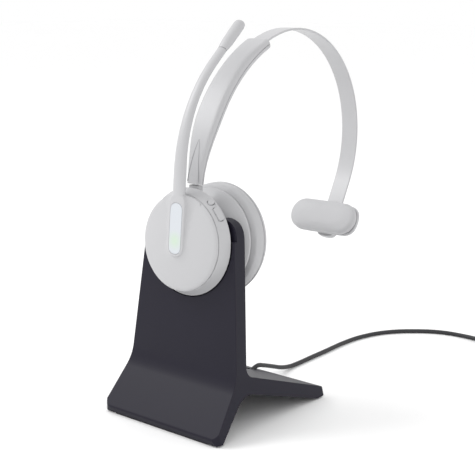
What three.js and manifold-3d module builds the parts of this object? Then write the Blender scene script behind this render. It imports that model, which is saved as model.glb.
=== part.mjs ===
// Mono office headset docked on its charging stand, as separate parts.
// Millimetres, +Z up. +X is to the right as one faces the stand, +Y runs from the stand's front to its back.
// The origin is on the table, in the middle of the box round the stand and headset (cord left out).
import * as THREE from "three";
import { mergeVertices } from "three/addons/utils/BufferGeometryUtils.js";
import Module from "manifold-3d";

const wasm = await Module();
wasm.setup();
const { Manifold, Mesh: SolidMesh } = wasm;
const degrees = THREE.MathUtils.degToRad;

// ---- Driving dimensions --------------------------------------------------------------------------

const GAP = 0.3; // air kept between two parts that touch
const WALL = 2.2; // moulded wall
const FOOT_CORNER = 7; // the foot's front corners, seen from above

// Stand, in a frame of its own: y is 0 at the front toe.
const STAND_LEAN = degrees(5.33); // the blade leans back
const FOOT_HALF_WIDTH = 44;
const BEND = { y: 21.2, z: 30.2, halfWidth: 40 }; // where the blade meets the front leg
const BLADE_TAPER = 0.094; // half width lost per mm of height
const BLADE_THICKNESS = 9;
const BLADE_ABOVE_CUP = 15.7; // top edge over the docked cup's axis
const BLADE_CORNER = 11;
const CUP_HEIGHT = 73.6; // cup axis above the bend, along the blade
const REAR_TOE = { y: 100.4, top: 99.6, height: 6.8 };
const FRONT_TOE = { y: 1.3, height: 4.3 };
const REAR_SLOPE = degrees(20.4); // fall of the rear leg's top face
const RUBBER = 0.8; // how far the rubber feet stand proud of the legs

// Dock: a notch that takes the cup's neck, lined with silicone.
const NECK_RADIUS = 18;
const LINER_INNER = 18.5;
const LINER_OUTER = 20.2;
const NOTCH_RADIUS = 20.5;
const RECESS = { radius: 31.1, depth: 2.2, openAbove: 4 };
const PIN = { radius: 0.85, offset: 3.5, depth: 5.6, tip: -18.1 };

// Headset, in the cup's frame: y along the cup's axis towards the ear, z up the headband.
const FACE = { y: -8, radius: 27.3, dome: 2.6, back: -6.6 };
const RIM = { y: 0.6, radius: 30.5 };
const HOUSING_BACK = { y: 19.2, radius: 29.4 };
const CUSHION = { front: 19.6, back: 34, radius: 32.9, hole: 14.5 };
const BOOM = { y: -10.3, straight: 43, bend: 82, sweep: degrees(43.5), tip: 33 };
const BOOM_ROOT = { front: -11.9, half: 6, low: -7.9, high: 28, edge: 1.2, spread: 8 };
const LIGHT_BAR = { low: -6, high: 22.4, width: 8.6, thickness: 0.9 };
const ARM = { y: 97.92, z: 29.34, radius: 95, width: 17, thickness: 6 }; // centre of the arm's curve
const BAND = { y: 88.47, z: 55.02, radius: 67.6, width: 12, thickness: 1.2, lift: -0.9 };
const PAD = { length: 49.5, height: 20.5, back: 3.1, base: 2.4, thickness: 6, drop: 2.2 };

// Cord: its real length and the route of its centre line, in the stand's frame.
const CORD = { diameter: 2.8, length: 1200, x: -1.5 };

// ---- Making solids -------------------------------------------------------------------------------

// A three.js geometry, closed, as a solid that faces outwards.
function solid(geometry) {
  const plain = geometry.index ? geometry.toNonIndexed() : geometry.clone();
  const bare = new THREE.BufferGeometry().setAttribute("position", plain.getAttribute("position"));
  const merged = mergeVertices(bare, 1e-4);
  const corners = [];
  const index = merged.index.array;
  for (let i = 0; i < index.length; i += 3) {
    const [a, b, c] = [index[i], index[i + 1], index[i + 2]];
    if (a !== b && b !== c && c !== a) corners.push(a, b, c);
  }
  const build = (list) =>
    new Manifold(
      new SolidMesh({
        numProp: 3,
        vertProperties: new Float32Array(merged.attributes.position.array),
        triVerts: new Uint32Array(list),
      }),
    );
  const made = build(corners);
  return made.volume() > 0 ? made : build(corners.reverse());
}

function geometryOf(made) {
  const mesh = made.getMesh();
  const geometry = new THREE.BufferGeometry();
  const positions = new Float32Array(mesh.numVert * 3);
  for (let i = 0; i < mesh.numVert; i++) {
    const start = i * mesh.numProp;
    positions.set(mesh.vertProperties.subarray(start, start + 3), i * 3);
  }
  geometry.setAttribute("position", new THREE.BufferAttribute(positions, 3));
  geometry.setIndex(new THREE.BufferAttribute(new Uint32Array(mesh.triVerts), 1));
  const flat = geometry.toNonIndexed();
  flat.computeVertexNormals();
  return flat;
}

// A closed outline whose corners are [a, b, trim]: trim is how much of each side the rounding takes.
function outline(corners) {
  const shape = new THREE.Shape();
  const at = (i) => {
    const [a, b, trim = 0] = corners[(i + corners.length) % corners.length];
    return { point: new THREE.Vector2(a, b), trim };
  };
  for (let i = 0; i < corners.length; i++) {
    const { point, trim } = at(i);
    const before = at(i - 1).point.clone().sub(point).setLength(trim).add(point);
    const after = at(i + 1).point.clone().sub(point).setLength(trim).add(point);
    if (i === 0) shape.moveTo(before.x, before.y);
    else shape.lineTo(before.x, before.y);
    if (trim > 0) shape.quadraticCurveTo(point.x, point.y, after.x, after.y);
  }
  shape.closePath();
  return shape;
}

const rectangle = (a0, a1, b0, b1, trim = 0) =>
  outline([[a0, b0, trim], [a1, b0, trim], [a1, b1, trim], [a0, b1, trim]]);

function extrude(shape, depth, curveSegments = 5) {
  return new THREE.ExtrudeGeometry(shape, { depth, bevelEnabled: false, curveSegments });
}

// An outline drawn in y and z, standing from x0 to x1.
function acrossX(shape, x0, x1, curveSegments) {
  const turned = new THREE.Matrix4().set(0, 0, 1, x0, 1, 0, 0, 0, 0, 1, 0, 0, 0, 0, 0, 1);
  return solid(extrude(shape, x1 - x0, curveSegments).applyMatrix4(turned));
}

// An outline drawn in x and z, standing from y0 to y1.
function acrossY(shape, y0, y1, curveSegments) {
  const turned = new THREE.Matrix4().makeRotationX(Math.PI / 2).setPosition(0, y1, 0);
  return solid(extrude(shape, y1 - y0, curveSegments).applyMatrix4(turned));
}

// An outline drawn in x and y, standing from z0 to z1.
function acrossZ(shape, z0, z1, curveSegments) {
  return solid(extrude(shape, z1 - z0, curveSegments).translate(0, 0, z0));
}

const box = (x0, x1, y0, y1, z0, z1) => acrossZ(rectangle(x0, x1, y0, y1), z0, z1);

// A profile of [radius, y] turned about the y axis.
function turned(profile, segments = 48) {
  const points = profile.map(([radius, y]) => new THREE.Vector2(radius, y));
  return solid(new THREE.LatheGeometry(points, segments));
}

// A ring profile, closed on itself.
const turnedRing = (profile, segments) => turned([...profile, profile[0]], segments);

const discY = (radius, y0, y1, segments = 48) =>
  turned([[0, y0], [radius, y0], [radius, y1], [0, y1]], segments);

const ringY = (inner, outer, y0, y1, segments = 48) =>
  turnedRing([[inner, y0], [outer, y0], [outer, y1], [inner, y1]], segments);

function rodX(radius, x0, x1, y, z, segments = 16) {
  const geometry = new THREE.CylinderGeometry(radius, radius, x1 - x0, segments);
  return solid(geometry.rotateZ(Math.PI / 2).translate((x0 + x1) / 2, y, z));
}

function rodZ(radius, z0, z1, x, y, segments = 16) {
  const geometry = new THREE.CylinderGeometry(radius, radius, z1 - z0, segments);
  return solid(geometry.rotateX(Math.PI / 2).translate(x, y, (z0 + z1) / 2));
}

const rodY = (radius, y0, y1, x, z, segments = 16) =>
  solid(new THREE.CylinderGeometry(radius, radius, y1 - y0, segments).translate(x, (y0 + y1) / 2, z));

const moved = (made, matrix) => made.transform(matrix.elements);

// ---- Materials -----------------------------------------------------------------------------------

const plastic = (color, roughness) => new THREE.MeshStandardMaterial({ color, roughness });
const metal = (color, roughness) => new THREE.MeshStandardMaterial({ color, roughness, metalness: 1 });
const darkShell = plastic(0x3a393f, 0.55);
const blackRubber = plastic(0x17171a, 0.85);
const paleShell = plastic(0xcfcfd1, 0.45);
const paleSoft = plastic(0xc6c6c8, 0.75);
const lightWindow = plastic(0xf4f4f8, 0.3);
const boardGreen = plastic(0x1f5a3a, 0.6);
const innerGrey = plastic(0x8c8c90, 0.6);
const steel = metal(0xb6b8bb, 0.35);
const gold = metal(0xd9b45a, 0.3);

// ---- Frames --------------------------------------------------------------------------------------

// The cup's centre in the stand's frame; the leaning frame has its origin there.
const CUP_CENTRE = new THREE.Vector3(
  0,
  BEND.y + CUP_HEIGHT * Math.sin(STAND_LEAN),
  BEND.z + CUP_HEIGHT * Math.cos(STAND_LEAN),
);
const LEANING = new THREE.Matrix4().makeRotationX(-STAND_LEAN).setPosition(CUP_CENTRE);

// How far the headband reaches back, from its circle in the leaning frame.
const bandCentre = new THREE.Vector3(0, BAND.y, BAND.z).applyMatrix4(LEANING);
const BACK_REACH = bandCentre.y + BAND.radius - BAND.lift + BAND.thickness / 2;
const MIDDLE_Y = BACK_REACH / 2; // the front toe is at y 0

const root = new THREE.Group();
const stand = new THREE.Group();
stand.position.y = -MIDDLE_Y;
root.add(stand);

const leaning = new THREE.Group(); // the dock and the headset share it
leaning.position.copy(CUP_CENTRE);
leaning.rotation.x = -STAND_LEAN;
stand.add(leaning);

function add(group, name, made, material) {
  const mesh = new THREE.Mesh(geometryOf(made), material);
  mesh.name = name;
  group.add(mesh);
  return mesh;
}

// ---- Stand casing --------------------------------------------------------------------------------

const BLADE_TOP = BLADE_ABOVE_CUP;
const BLADE_FOOT = -CUP_HEIGHT; // the bend, in the leaning frame
const halfWidthAt = (z) => BEND.halfWidth - BLADE_TAPER * (z - BLADE_FOOT);

function bladeBody() {
  const foot = BLADE_FOOT + 1;
  return acrossY(
    outline([
      [-halfWidthAt(foot), foot],
      [halfWidthAt(foot), foot],
      [halfWidthAt(BLADE_TOP), BLADE_TOP, BLADE_CORNER],
      [-halfWidthAt(BLADE_TOP), BLADE_TOP, BLADE_CORNER],
    ]),
    0,
    BLADE_THICKNESS,
    8,
  );
}

// The legs and the root of the blade, cut from their side profile and their outlines.
function legsBody() {
  const rise = 9; // blade root that overlaps the blade
  const frontTop = new THREE.Vector3(0, 0, BLADE_FOOT + rise).applyMatrix4(LEANING);
  const backTop = new THREE.Vector3(0, BLADE_THICKNESS, BLADE_FOOT + rise).applyMatrix4(LEANING);
  const side = acrossX(
    outline([
      [FRONT_TOE.y, RUBBER, 0.4],
      [5, RUBBER, 0.4],
      [26.7, 23.1, 9],
      [94, RUBBER, 0.4],
      [REAR_TOE.y, RUBBER, 0.8],
      [REAR_TOE.top, REAR_TOE.height, 1],
      [30.5, 32, 5.5],
      [backTop.y, backTop.z],
      [frontTop.y, frontTop.z],
      [BEND.y, BEND.z, 7],
      [0, FRONT_TOE.height, 1],
    ]),
    -FOOT_HALF_WIDTH - 5,
    FOOT_HALF_WIDTH + 5,
    6,
  );
  // Seen from the front: the sides splay out below the bend.
  const splay = (corner) =>
    outline([
      [-FOOT_HALF_WIDTH, 0, corner],
      [FOOT_HALF_WIDTH, 0, corner],
      [BEND.halfWidth, BEND.z],
      [BEND.halfWidth, frontTop.z],
      [-BEND.halfWidth, frontTop.z],
      [-BEND.halfWidth, BEND.z],
    ]);
  const split = 40;
  const front = acrossY(splay(0.6), -2, split, 3);
  const rear = acrossY(splay(1), split - 1, REAR_TOE.y + 2, 3);
  // Seen from above: the foot's front corners are round.
  const reach = REAR_TOE.y + 2;
  const plan = acrossZ(
    outline([
      [-FOOT_HALF_WIDTH, 0, FOOT_CORNER],
      [FOOT_HALF_WIDTH, 0, FOOT_CORNER],
      [FOOT_HALF_WIDTH, reach],
      [-FOOT_HALF_WIDTH, reach],
    ]),
    -1,
    frontTop.z + 5,
    8,
  );
  return side.intersect(front.add(rear)).intersect(plan).intersect(bladeFlanks());
}

// Above the bend the legs' sides lie in the planes of the blade's sides.
function bladeFlanks() {
  const [top, below, spare] = [BLADE_TOP, BLADE_FOOT - 46, 20];
  const half = BEND.halfWidth;
  const flanks = outline([
    [-halfWidthAt(top), top],
    [-half, BLADE_FOOT],
    [-half - spare, below],
    [half + spare, below],
    [half, BLADE_FOOT],
    [halfWidthAt(top), top],
  ]);
  return moved(acrossY(flanks, -40, 110), LEANING);
}

// A block along the rear leg: s runs up the leg from the toe's top edge, t is height over the leg's top face.
const REAR_LEG = new THREE.Matrix4()
  .makeRotationX(-REAR_SLOPE)
  .setPosition(0, REAR_TOE.top, REAR_TOE.height);
const inRearLeg = (x0, x1, s0, s1, t0, t1) => moved(box(x0, x1, -s1, -s0, t0, t1), REAR_LEG);

const REAR_POCKET = { half: 35, low: 31, high: 56, roof: -WALL };
const TROUGH = { half: 3.1, start: 79, end: 91 };
const BACK_CAVITY = { low: -63, high: -33, inner: 2.6 };

// The opening in the blade's back: the board's chamber and the charging block's pocket over it.
function backOpening(shrink, y0, y1) {
  const { low, high } = BACK_CAVITY;
  const side = 4.5 + shrink;
  const chamber = acrossY(
    outline([
      [-halfWidthAt(low) + side, low + shrink, 2],
      [halfWidthAt(low) - side, low + shrink, 2],
      [halfWidthAt(high) - side, high - shrink, 2],
      [-halfWidthAt(high) + side, high - shrink, 2],
    ]),
    y0,
    y1,
    3,
  );
  return chamber.add(box(-8 + shrink, 8 - shrink, y0, y1, high - 2, -22 - shrink));
}

const SCREW_SPOTS = [
  [-30, -59],
  [30, -59],
  [-27, -37],
  [27, -37],
];

function standBody() {
  let blade = bladeBody();
  const reach = FOOT_HALF_WIDTH + 5;
  const recess = discY(RECESS.radius, -2, RECESS.depth, 64).add(
    box(-reach, reach, -2, RECESS.depth, RECESS.openAbove, BLADE_TOP + 5),
  );
  const notch = discY(NOTCH_RADIUS, -2, BLADE_THICKNESS + 2, 48).add(
    box(-NOTCH_RADIUS, NOTCH_RADIUS, -2, BLADE_THICKNESS + 2, 0, BLADE_TOP + 5),
  );
  blade = blade.subtract(recess).subtract(notch);
  blade = blade.subtract(backOpening(0, BACK_CAVITY.inner, BLADE_THICKNESS + 2));
  blade = blade.subtract(box(-6.5, 6.5, 3.2, 8, -23, -19.5)); // the pins' way up into the notch
  for (const [x, z] of SCREW_SPOTS) {
    const post = rodY(2.4, BACK_CAVITY.inner - 0.5, 7, x, z, 20);
    blade = blade.add(post.subtract(rodY(1.3, 3.4, 8, x, z, 16)));
  }
  const { half, low, high, roof } = REAR_POCKET;
  const legs = legsBody()
    .subtract(inRearLeg(-half, half, low, high, -14, roof))
    .subtract(
      acrossX(
        outline([
          [TROUGH.start, 6.9],
          [TROUGH.start + 5, 7.3],
          [TROUGH.end, 9.5],
          [TROUGH.end, 30],
          [TROUGH.start, 30],
        ]),
        CORD.x - TROUGH.half,
        CORD.x + TROUGH.half,
      ),
    );
  return moved(blade, LEANING).add(legs);
}
add(stand, "stand_body", standBody(), darkShell);

function bladeRearCover() {
  let cover = backOpening(GAP, 7.4, BLADE_THICKNESS - 0.1);
  for (const [x, z] of SCREW_SPOTS) {
    cover = cover.subtract(rodY(1.5, 7, 9.5, x, z)).subtract(rodY(2.7, 8, 9.5, x, z));
  }
  return cover;
}
add(leaning, "blade_rear_cover", bladeRearCover(), darkShell);

SCREW_SPOTS.forEach(([x, z], i) => {
  const head = rodY(2.3, 8.15, 8.75, x, z).subtract(box(x - 0.3, x + 0.3, 8.45, 9, z - 1.5, z + 1.5));
  const shank = rodY(1, 4, 8.3, x, z, 12);
  add(leaning, "cover_screw_" + (i + 1), head.add(shank), steel);
});

// The rear leg's steel weight and its closing plate, both in the pocket in the leg's underside.
{
  const { half, low, high, roof } = REAR_POCKET;
  const weightDepth = 3.2;
  add(
    stand,
    "rear_weight",
    inRearLeg(-half + 1, half - 1, low + 1, high - 1, roof - GAP - weightDepth, roof - GAP),
    steel,
  );
  const plateTop = roof - 2 * GAP - weightDepth;
  add(
    stand,
    "rear_leg_plate",
    inRearLeg(-half + GAP, half - GAP, low + GAP, high - GAP, plateTop - 1.5, plateTop),
    darkShell,
  );
}

// Rubber strips under the toes: these are what the stand rests on.
const stripOutline = (y0, y1, trim) => rectangle(-FOOT_HALF_WIDTH + 8, FOOT_HALF_WIDTH - 8, y0, y1, trim);
add(stand, "front_rubber_foot", acrossZ(stripOutline(1.9, 4.7, 1.2), 0, RUBBER - 0.01 * GAP), blackRubber);
add(stand, "rear_rubber_foot", acrossZ(stripOutline(94.4, 98.9, 1.8), 0, RUBBER - 0.01 * GAP), blackRubber);

// ---- Dock ----------------------------------------------------------------------------------------

function saddleLiner() {
  const [y0, y1] = [RECESS.depth + GAP, BLADE_THICKNESS - GAP];
  const top = BLADE_TOP - 3;
  const outer = discY(LINER_OUTER, y0, y1, 48).add(box(-LINER_OUTER, LINER_OUTER, y0, y1, 0, top));
  const inner = discY(LINER_INNER, y0 - 1, y1 + 1, 48).add(
    box(-LINER_INNER, LINER_INNER, y0 - 1, y1 + 1, 0, top + 1),
  );
  let liner = outer.subtract(inner).intersect(box(-30, 30, y0, y1, -30, top));
  for (const side of [-1, 1]) {
    liner = liner.subtract(rodZ(1.6, -22, -15, side * PIN.offset, PIN.depth, 16));
  }
  return liner;
}
add(leaning, "saddle_liner", saddleLiner(), blackRubber);

function contactBlock() {
  let block = box(-6, 6, 3.5, 7, -31, -20.8);
  for (const side of [-1, 1]) {
    block = block.subtract(rodZ(1.55, -29.5, -20, side * PIN.offset, PIN.depth, 16));
  }
  return block;
}
add(leaning, "contact_block", contactBlock(), innerGrey);

for (const [side, word] of [[-1, "left"], [1, "right"]]) {
  const x = side * PIN.offset;
  const barrel = rodZ(1.35, -29.2, -21, x, PIN.depth, 16).subtract(
    rodZ(PIN.radius + 0.15, -27.5, -20, x, PIN.depth, 16),
  );
  add(leaning, "pin_barrel_" + word, barrel, gold);
  add(leaning, "charge_pin_" + word, rodZ(PIN.radius, -25.8, PIN.tip, x, PIN.depth, 16), gold);
}

add(leaning, "charge_board", box(-20, 20, 3.6, 5, -56, -35), boardGreen);

// ---- Cup: housing, neck and ear side -------------------------------------------------------------

const PIVOT = { y: 5, z: 20.5 }; // the arm tilts about it

function turnedCupShell() {
  const { y: rimY, radius: rimR } = RIM;
  return turnedRing([
    [FACE.radius + 0.2, FACE.y + 1.7],
    [rimR - 0.6, rimY - 1.6],
    [rimR, rimY - 0.9],
    [rimR - 0.3, rimY - 0.2],
    [rimR - 1, rimY],
    [NECK_RADIUS + 1, rimY],
    [NECK_RADIUS, rimY + 0.6],
    [NECK_RADIUS, 10.4],
    [NECK_RADIUS - 2, 10.4],
    [NECK_RADIUS - 2, -1.2],
    [rimR - WALL - 0.4, -1.2],
    [FACE.radius - 1.6, FACE.y + 1.7],
  ]);
}

// Where a side button sits: its angle from straight up, clockwise as seen from the front.
const BUTTONS = [
  { name: "mute_button", angle: degrees(34.5), half: degrees(3.3) },
  { name: "volume_button", angle: degrees(50.5), half: degrees(8) },
];
const BUTTON = { y0: -3.9, y1: -0.9, proud: 0.7, inner: 24.6 };
const WALL_SLOPE = (RIM.radius - FACE.radius) / (RIM.y - FACE.y);
const wallRadiusAt = (y) => FACE.radius + WALL_SLOPE * (y - FACE.y);

// A pill-shaped plug through the cup's wall, pointing outwards along +z before it is turned.
function buttonPlug(half, grow, z0, z1) {
  const width = Math.sin(half) * wallRadiusAt(BUTTON.y1) + grow;
  const trim = (BUTTON.y1 - BUTTON.y0) / 2 + grow;
  return acrossZ(rectangle(-width, width, BUTTON.y0 - grow, BUTTON.y1 + grow, trim), z0, z1, 5);
}
const turnToAngle = (made, angle) => moved(made, new THREE.Matrix4().makeRotationY(angle));

function cupHousing() {
  let shell = turnedCupShell();
  for (const { angle, half } of BUTTONS) {
    shell = shell.subtract(turnToAngle(buttonPlug(half, GAP, 22, 36), angle));
  }
  // The arm's pivot block lives in a slot through the top of the neck.
  shell = shell.subtract(box(-5.4, 5.4, 1.2, 9.4, 12, 22));
  for (const side of [-1, 1]) {
    const pad = box(side * PIN.offset - 1.9, side * PIN.offset + 1.9, 3.7, 7.5, -19, -12);
    shell = shell.subtract(pad);
  }
  // Lugs beside the slot carry the pivot's pin.
  for (const side of [-1, 1]) {
    const x0 = side > 0 ? 5.7 : -8.2;
    const lug = box(x0, x0 + 2.5, 1.6, 9.2, 14, 23.4);
    shell = shell.add(lug.subtract(rodX(1.25, x0 - 1, x0 + 4, PIVOT.y, PIVOT.z)));
  }
  return shell;
}
add(leaning, "cup_housing", cupHousing(), paleShell);

for (const [side, word] of [[-1, "left"], [1, "right"]]) {
  const x = side * PIN.offset;
  const pad = box(x - 1.6, x + 1.6, 4, 7.2, -18.5, -14.6).intersect(discY(NECK_RADIUS - 0.15, 2, 9, 48));
  add(leaning, "charge_pad_" + word, pad, gold);
}

function buttonCap({ angle, half }) {
  const top = wallRadiusAt((BUTTON.y0 + BUTTON.y1) / 2) + BUTTON.proud;
  const plug = buttonPlug(half, 0, BUTTON.inner, top + 2);
  const [front, back] = [BUTTON.y0 - 3, BUTTON.y1 + 3];
  const dome = turned(
    [
      [0, front],
      [wallRadiusAt(front) + BUTTON.proud, front],
      [wallRadiusAt(back) + BUTTON.proud, back],
      [0, back],
    ],
    64,
  );
  return turnToAngle(plug, angle).intersect(dome);
}
for (const button of BUTTONS) add(leaning, button.name, buttonCap(button), paleShell);

add(
  leaning,
  "speaker_housing",
  turnedRing([
    [16.2, 10.8],
    [NECK_RADIUS + 1.2, 10.8],
    [23.5, 12.6],
    [27.6, 15.6],
    [HOUSING_BACK.radius, HOUSING_BACK.y - 1.4],
    [HOUSING_BACK.radius, HOUSING_BACK.y],
    [26.6, HOUSING_BACK.y],
    [25, 16],
    [21, 13.4],
    [16.2, 12.8],
  ]),
  paleShell,
);

const BAFFLE = { radius: 26.2, y0: 16.8, y1: 18.6 };
function speakerBaffle() {
  let plate = discY(BAFFLE.radius - 2.2, BAFFLE.y0, BAFFLE.y1, 40);
  const ringOfHoles = (count, radius) => {
    for (let i = 0; i < count; i++) {
      const turn = (2 * Math.PI * i) / count;
      const [x, z] = [radius * Math.cos(turn), radius * Math.sin(turn)];
      plate = plate.subtract(rodY(1.1, BAFFLE.y0 - 1, BAFFLE.y1 + 1, x, z, 8));
    }
  };
  ringOfHoles(1, 0);
  ringOfHoles(6, 4);
  ringOfHoles(12, 8);
  return plate;
}
add(leaning, "speaker_baffle", speakerBaffle(), innerGrey);
add(leaning, "speaker_driver", turned([[0, 12], [9, 12], [9, 14.2], [14, 14.6], [14, 16.4], [0, 16.4]], 32), steel);
add(leaning, "battery_cell", box(-9, 9, 0.2, 4.8, -12.5, 4), innerGrey);
add(leaning, "main_board", discY(15, 8.2, 9.6, 32), boardGreen);

function earCushion() {
  const { front, back, radius, hole } = CUSHION;
  const middle = 28;
  return turnedRing([
    [hole + 2, front],
    [radius - 3.2, front],
    [radius - 0.7, front + 3.4],
    [radius, middle],
    [radius - 1.6, middle + 3.6],
    [radius - 5, back - 0.7],
    [radius - 9, back],
    [hole + 4, back - 0.7],
    [hole + 1, back - 3.4],
    [hole, middle - 1],
    [hole + 0.3, front + 3],
  ]);
}
add(leaning, "ear_cushion", earCushion(), paleSoft);

// ---- Boom: its face covers the cup's front and turns about the cup's axis ------------------------

// Height of the domed face's surface at a radius.
const domeAt = (radius) => FACE.y - FACE.dome * (1 - (radius / FACE.radius) ** 2);

function turningFace() {
  const profile = [];
  for (let radius = 0; radius <= 25; radius += 5) profile.push([radius, domeAt(radius)]);
  profile.push([FACE.radius - 0.6, FACE.y + 0.2]);
  profile.push([FACE.radius, FACE.y + 0.9]);
  profile.push([FACE.radius, FACE.back], [0, FACE.back]);
  return turned(profile, 64);
}

const AXLE = { radius: 4.2, back: -1.9 };

// Points round a pill that stands along z, as [x, z].
function pill(half, low, high, arcSteps = 8) {
  const points = [];
  for (const [end, from] of [[high - half, 0], [low + half, Math.PI]]) {
    for (let k = 0; k <= arcSteps; k++) {
      const turn = from + (Math.PI * k) / arcSteps;
      points.push([half * Math.cos(turn), end + half * Math.sin(turn)]);
    }
  }
  return points;
}

// The root swells out of the face: pills that widen in a hollow curve as they go down to the dome.
function boomRoot() {
  const { front, half, low, high, edge, spread } = BOOM_ROOT;
  const rings = [];
  const addRing = (grow, depthAt) => {
    const around = pill(half + grow, low - grow, high + grow);
    rings.push(around.map(([x, z]) => [x, depthAt(Math.min(Math.hypot(x, z), FACE.radius)), z]));
  };
  addRing(-edge, () => front);
  addRing(-0.3 * edge, () => front + 0.3 * edge);
  const start = front + 0.7 * edge;
  const sunk = 0.15; // the last pill lies just under the dome
  const steps = 6;
  for (let i = 0; i <= steps; i++) {
    const turn = (Math.PI / 2) * (i / steps);
    const down = (radius) => start + (domeAt(radius) + sunk - start) * Math.sin(turn);
    addRing(spread * (1 - Math.cos(turn)), down);
  }
  return skin(rings).intersect(discY(FACE.radius, front - 1, FACE.y + 1, 64));
}

const lightOutline = (grow) => {
  const { low, high, width } = LIGHT_BAR;
  const w = width / 2 + grow;
  return rectangle(-w, w, low - grow, high + grow, w);
};
add(
  leaning,
  "light_bar",
  acrossY(lightOutline(0), BOOM_ROOT.front - 0.1, BOOM_ROOT.front + LIGHT_BAR.thickness, 6),
  lightWindow,
);

add(leaning, "boom_bush", ringY(AXLE.radius + 0.3, 8.5, FACE.back + GAP, -3.7, 32), innerGrey);
add(
  leaning,
  "boom_retainer",
  ringY(AXLE.radius - 0.9, 6.4, -3.3, -2.8, 24).subtract(box(-1.2, 1.2, -4, -2, 0, 9)),
  steel,
);

// The boom's centre line from the cup's rim up, over its bend and out to the tip, in y and z.
function boomPoint(s) {
  const { y, straight, bend, sweep } = BOOM;
  if (s < 0) return { y, z: straight + s, turn: 0 };
  const turn = Math.min(s / bend, sweep);
  const past = Math.max(s - bend * sweep, 0);
  return {
    y: y + bend * (1 - Math.cos(turn)) + past * Math.sin(turn),
    z: straight + bend * Math.sin(turn) + past * Math.cos(turn),
    turn,
  };
}

// A rod of oval sections along the boom: stations are [s, width, thickness].
function ovalRod(stations, sides = 16) {
  const rings = stations.map(([s, width, thickness]) => {
    const { y, z, turn } = boomPoint(s);
    return Array.from({ length: sides }, (_, i) => {
      const angle = (2 * Math.PI * i) / sides;
      const across = (width / 2) * Math.cos(angle);
      const deep = (thickness / 2) * Math.sin(angle);
      return [across, y + deep * Math.cos(turn), z - deep * Math.sin(turn)];
    });
  });
  return skin(rings);
}

// A closed skin over rings of points, with a flat fan at each end.
function skin(rings) {
  const sides = rings[0].length;
  const positions = [];
  const push = (...points) => points.forEach((p) => positions.push(...p));
  for (let r = 0; r + 1 < rings.length; r++) {
    for (let i = 0; i < sides; i++) {
      const j = (i + 1) % sides;
      push(rings[r][i], rings[r][j], rings[r + 1][j]);
      push(rings[r][i], rings[r + 1][j], rings[r + 1][i]);
    }
  }
  const [first, last] = [rings[0], rings[rings.length - 1]];
  for (let i = 1; i + 1 < sides; i++) {
    push(first[0], first[i + 1], first[i]);
    push(last[0], last[i], last[i + 1]);
  }
  const geometry = new THREE.BufferGeometry();
  geometry.setAttribute("position", new THREE.Float32BufferAttribute(positions, 3));
  return solid(geometry);
}

const BOOM_CURVE = BOOM.bend * BOOM.sweep; // length of the bend
const MIC_START = BOOM_CURVE + 11;
const BOOM_END = BOOM_CURVE + BOOM.tip;
const smooth = (a, b, t) => a + (b - a) * (t * t * (3 - 2 * t));

function boomArm() {
  const start = 24 - BOOM.straight;
  const stations = [];
  const steps = 14;
  for (let i = 0; i <= steps; i++) {
    const t = i / steps;
    const width = smooth(8.8, 6, Math.min(1, t * 1.4));
    const swell = smooth(3.1, 4.8, Math.min(1, t / 0.2));
    const thickness = Math.min(swell, smooth(4.8, 4.2, t));
    stations.push([start + (MIC_START - GAP - start) * t, width, thickness]);
  }
  const groove = discY(AXLE.radius + 1, -3.5, -2.6, 24).subtract(discY(AXLE.radius - 1.2, -4, -2, 24));
  const axle = discY(AXLE.radius, BOOM_ROOT.front + 1.5, AXLE.back, 24).subtract(groove);
  const window = acrossY(
    lightOutline(0.15),
    BOOM_ROOT.front - 3,
    BOOM_ROOT.front + LIGHT_BAR.thickness + 0.2,
    6,
  );
  return ovalRod(stations).add(boomRoot()).add(turningFace()).add(axle).subtract(window);
}
add(leaning, "boom_arm", boomArm(), paleShell);

const MIC_STATIONS = [
  [0, 6.1, 4.3],
  [2.5, 6.5, 5.2],
  [6, 6.9, 6],
  [15, 7.1, 6.4],
];
function micCap() {
  const length = BOOM_END - MIC_START;
  const blunt = [
    [length - 2.4, 7, 6.3],
    [length - 0.9, 6.4, 5.6],
    [length, 4.8, 4],
  ];
  const stations = [...MIC_STATIONS, ...blunt].map(([s, width, thickness]) => [MIC_START + s, width, thickness]);
  const hollow = [8, 15].map((s) => [MIC_START + s, 4.4, 3.6]);
  const port = boomPoint(MIC_START + 11.5);
  const place = new THREE.Matrix4().makeRotationX(-port.turn).setPosition(0, port.y, port.z);
  return ovalRod(stations)
    .subtract(ovalRod(hollow, 12))
    .subtract(moved(rodY(0.8, 0, 6, 0, 0, 12), place));
}
add(leaning, "mic_cap", micCap(), paleShell);
add(leaning, "mic_capsule", ovalRod([8.6, 13.5].map((s) => [MIC_START + s, 3.6, 2.8]), 12), steel);

// ---- Arm: pivots in the neck, and carries the sliding headband -----------------------------------

// A point on the arm's curve. Up from the neck, turn is the curve's lean from straight up.
function armPoint(turn) {
  return {
    y: ARM.y - ARM.radius * Math.cos(turn),
    z: ARM.z + ARM.radius * Math.sin(turn),
    turn,
  };
}
const SWIVEL_Z = 32.3; // the swivel's plane, just over the cup's rim
const ARM_START = Math.asin((SWIVEL_Z - ARM.z) / ARM.radius);
const ARM_END = degrees(61.3);

const STEM = { y: 3.5, radius: 1, low: 26, high: 42 };
const stemBore = (top) => rodZ(STEM.radius + 0.25, STEM.low - 1, top, 0, STEM.y, 16);

add(
  leaning,
  "pivot_block",
  box(-4.9, 4.9, 2.6, 7.4, 17.6, 25.5)
    .add(box(-3.6, 3.6, 1.7, 5.3, 24, SWIVEL_Z - 0.6))
    .subtract(rodX(1.25, -8, 8, PIVOT.y, PIVOT.z))
    .subtract(stemBore(SWIVEL_Z + 1)),
  paleShell,
);
add(leaning, "pivot_pin", rodX(1, -8, 8, PIVOT.y, PIVOT.z, 16), steel);
add(leaning, "swivel_stem", rodZ(STEM.radius, STEM.low, STEM.high, 0, STEM.y, 16), steel);

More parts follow.
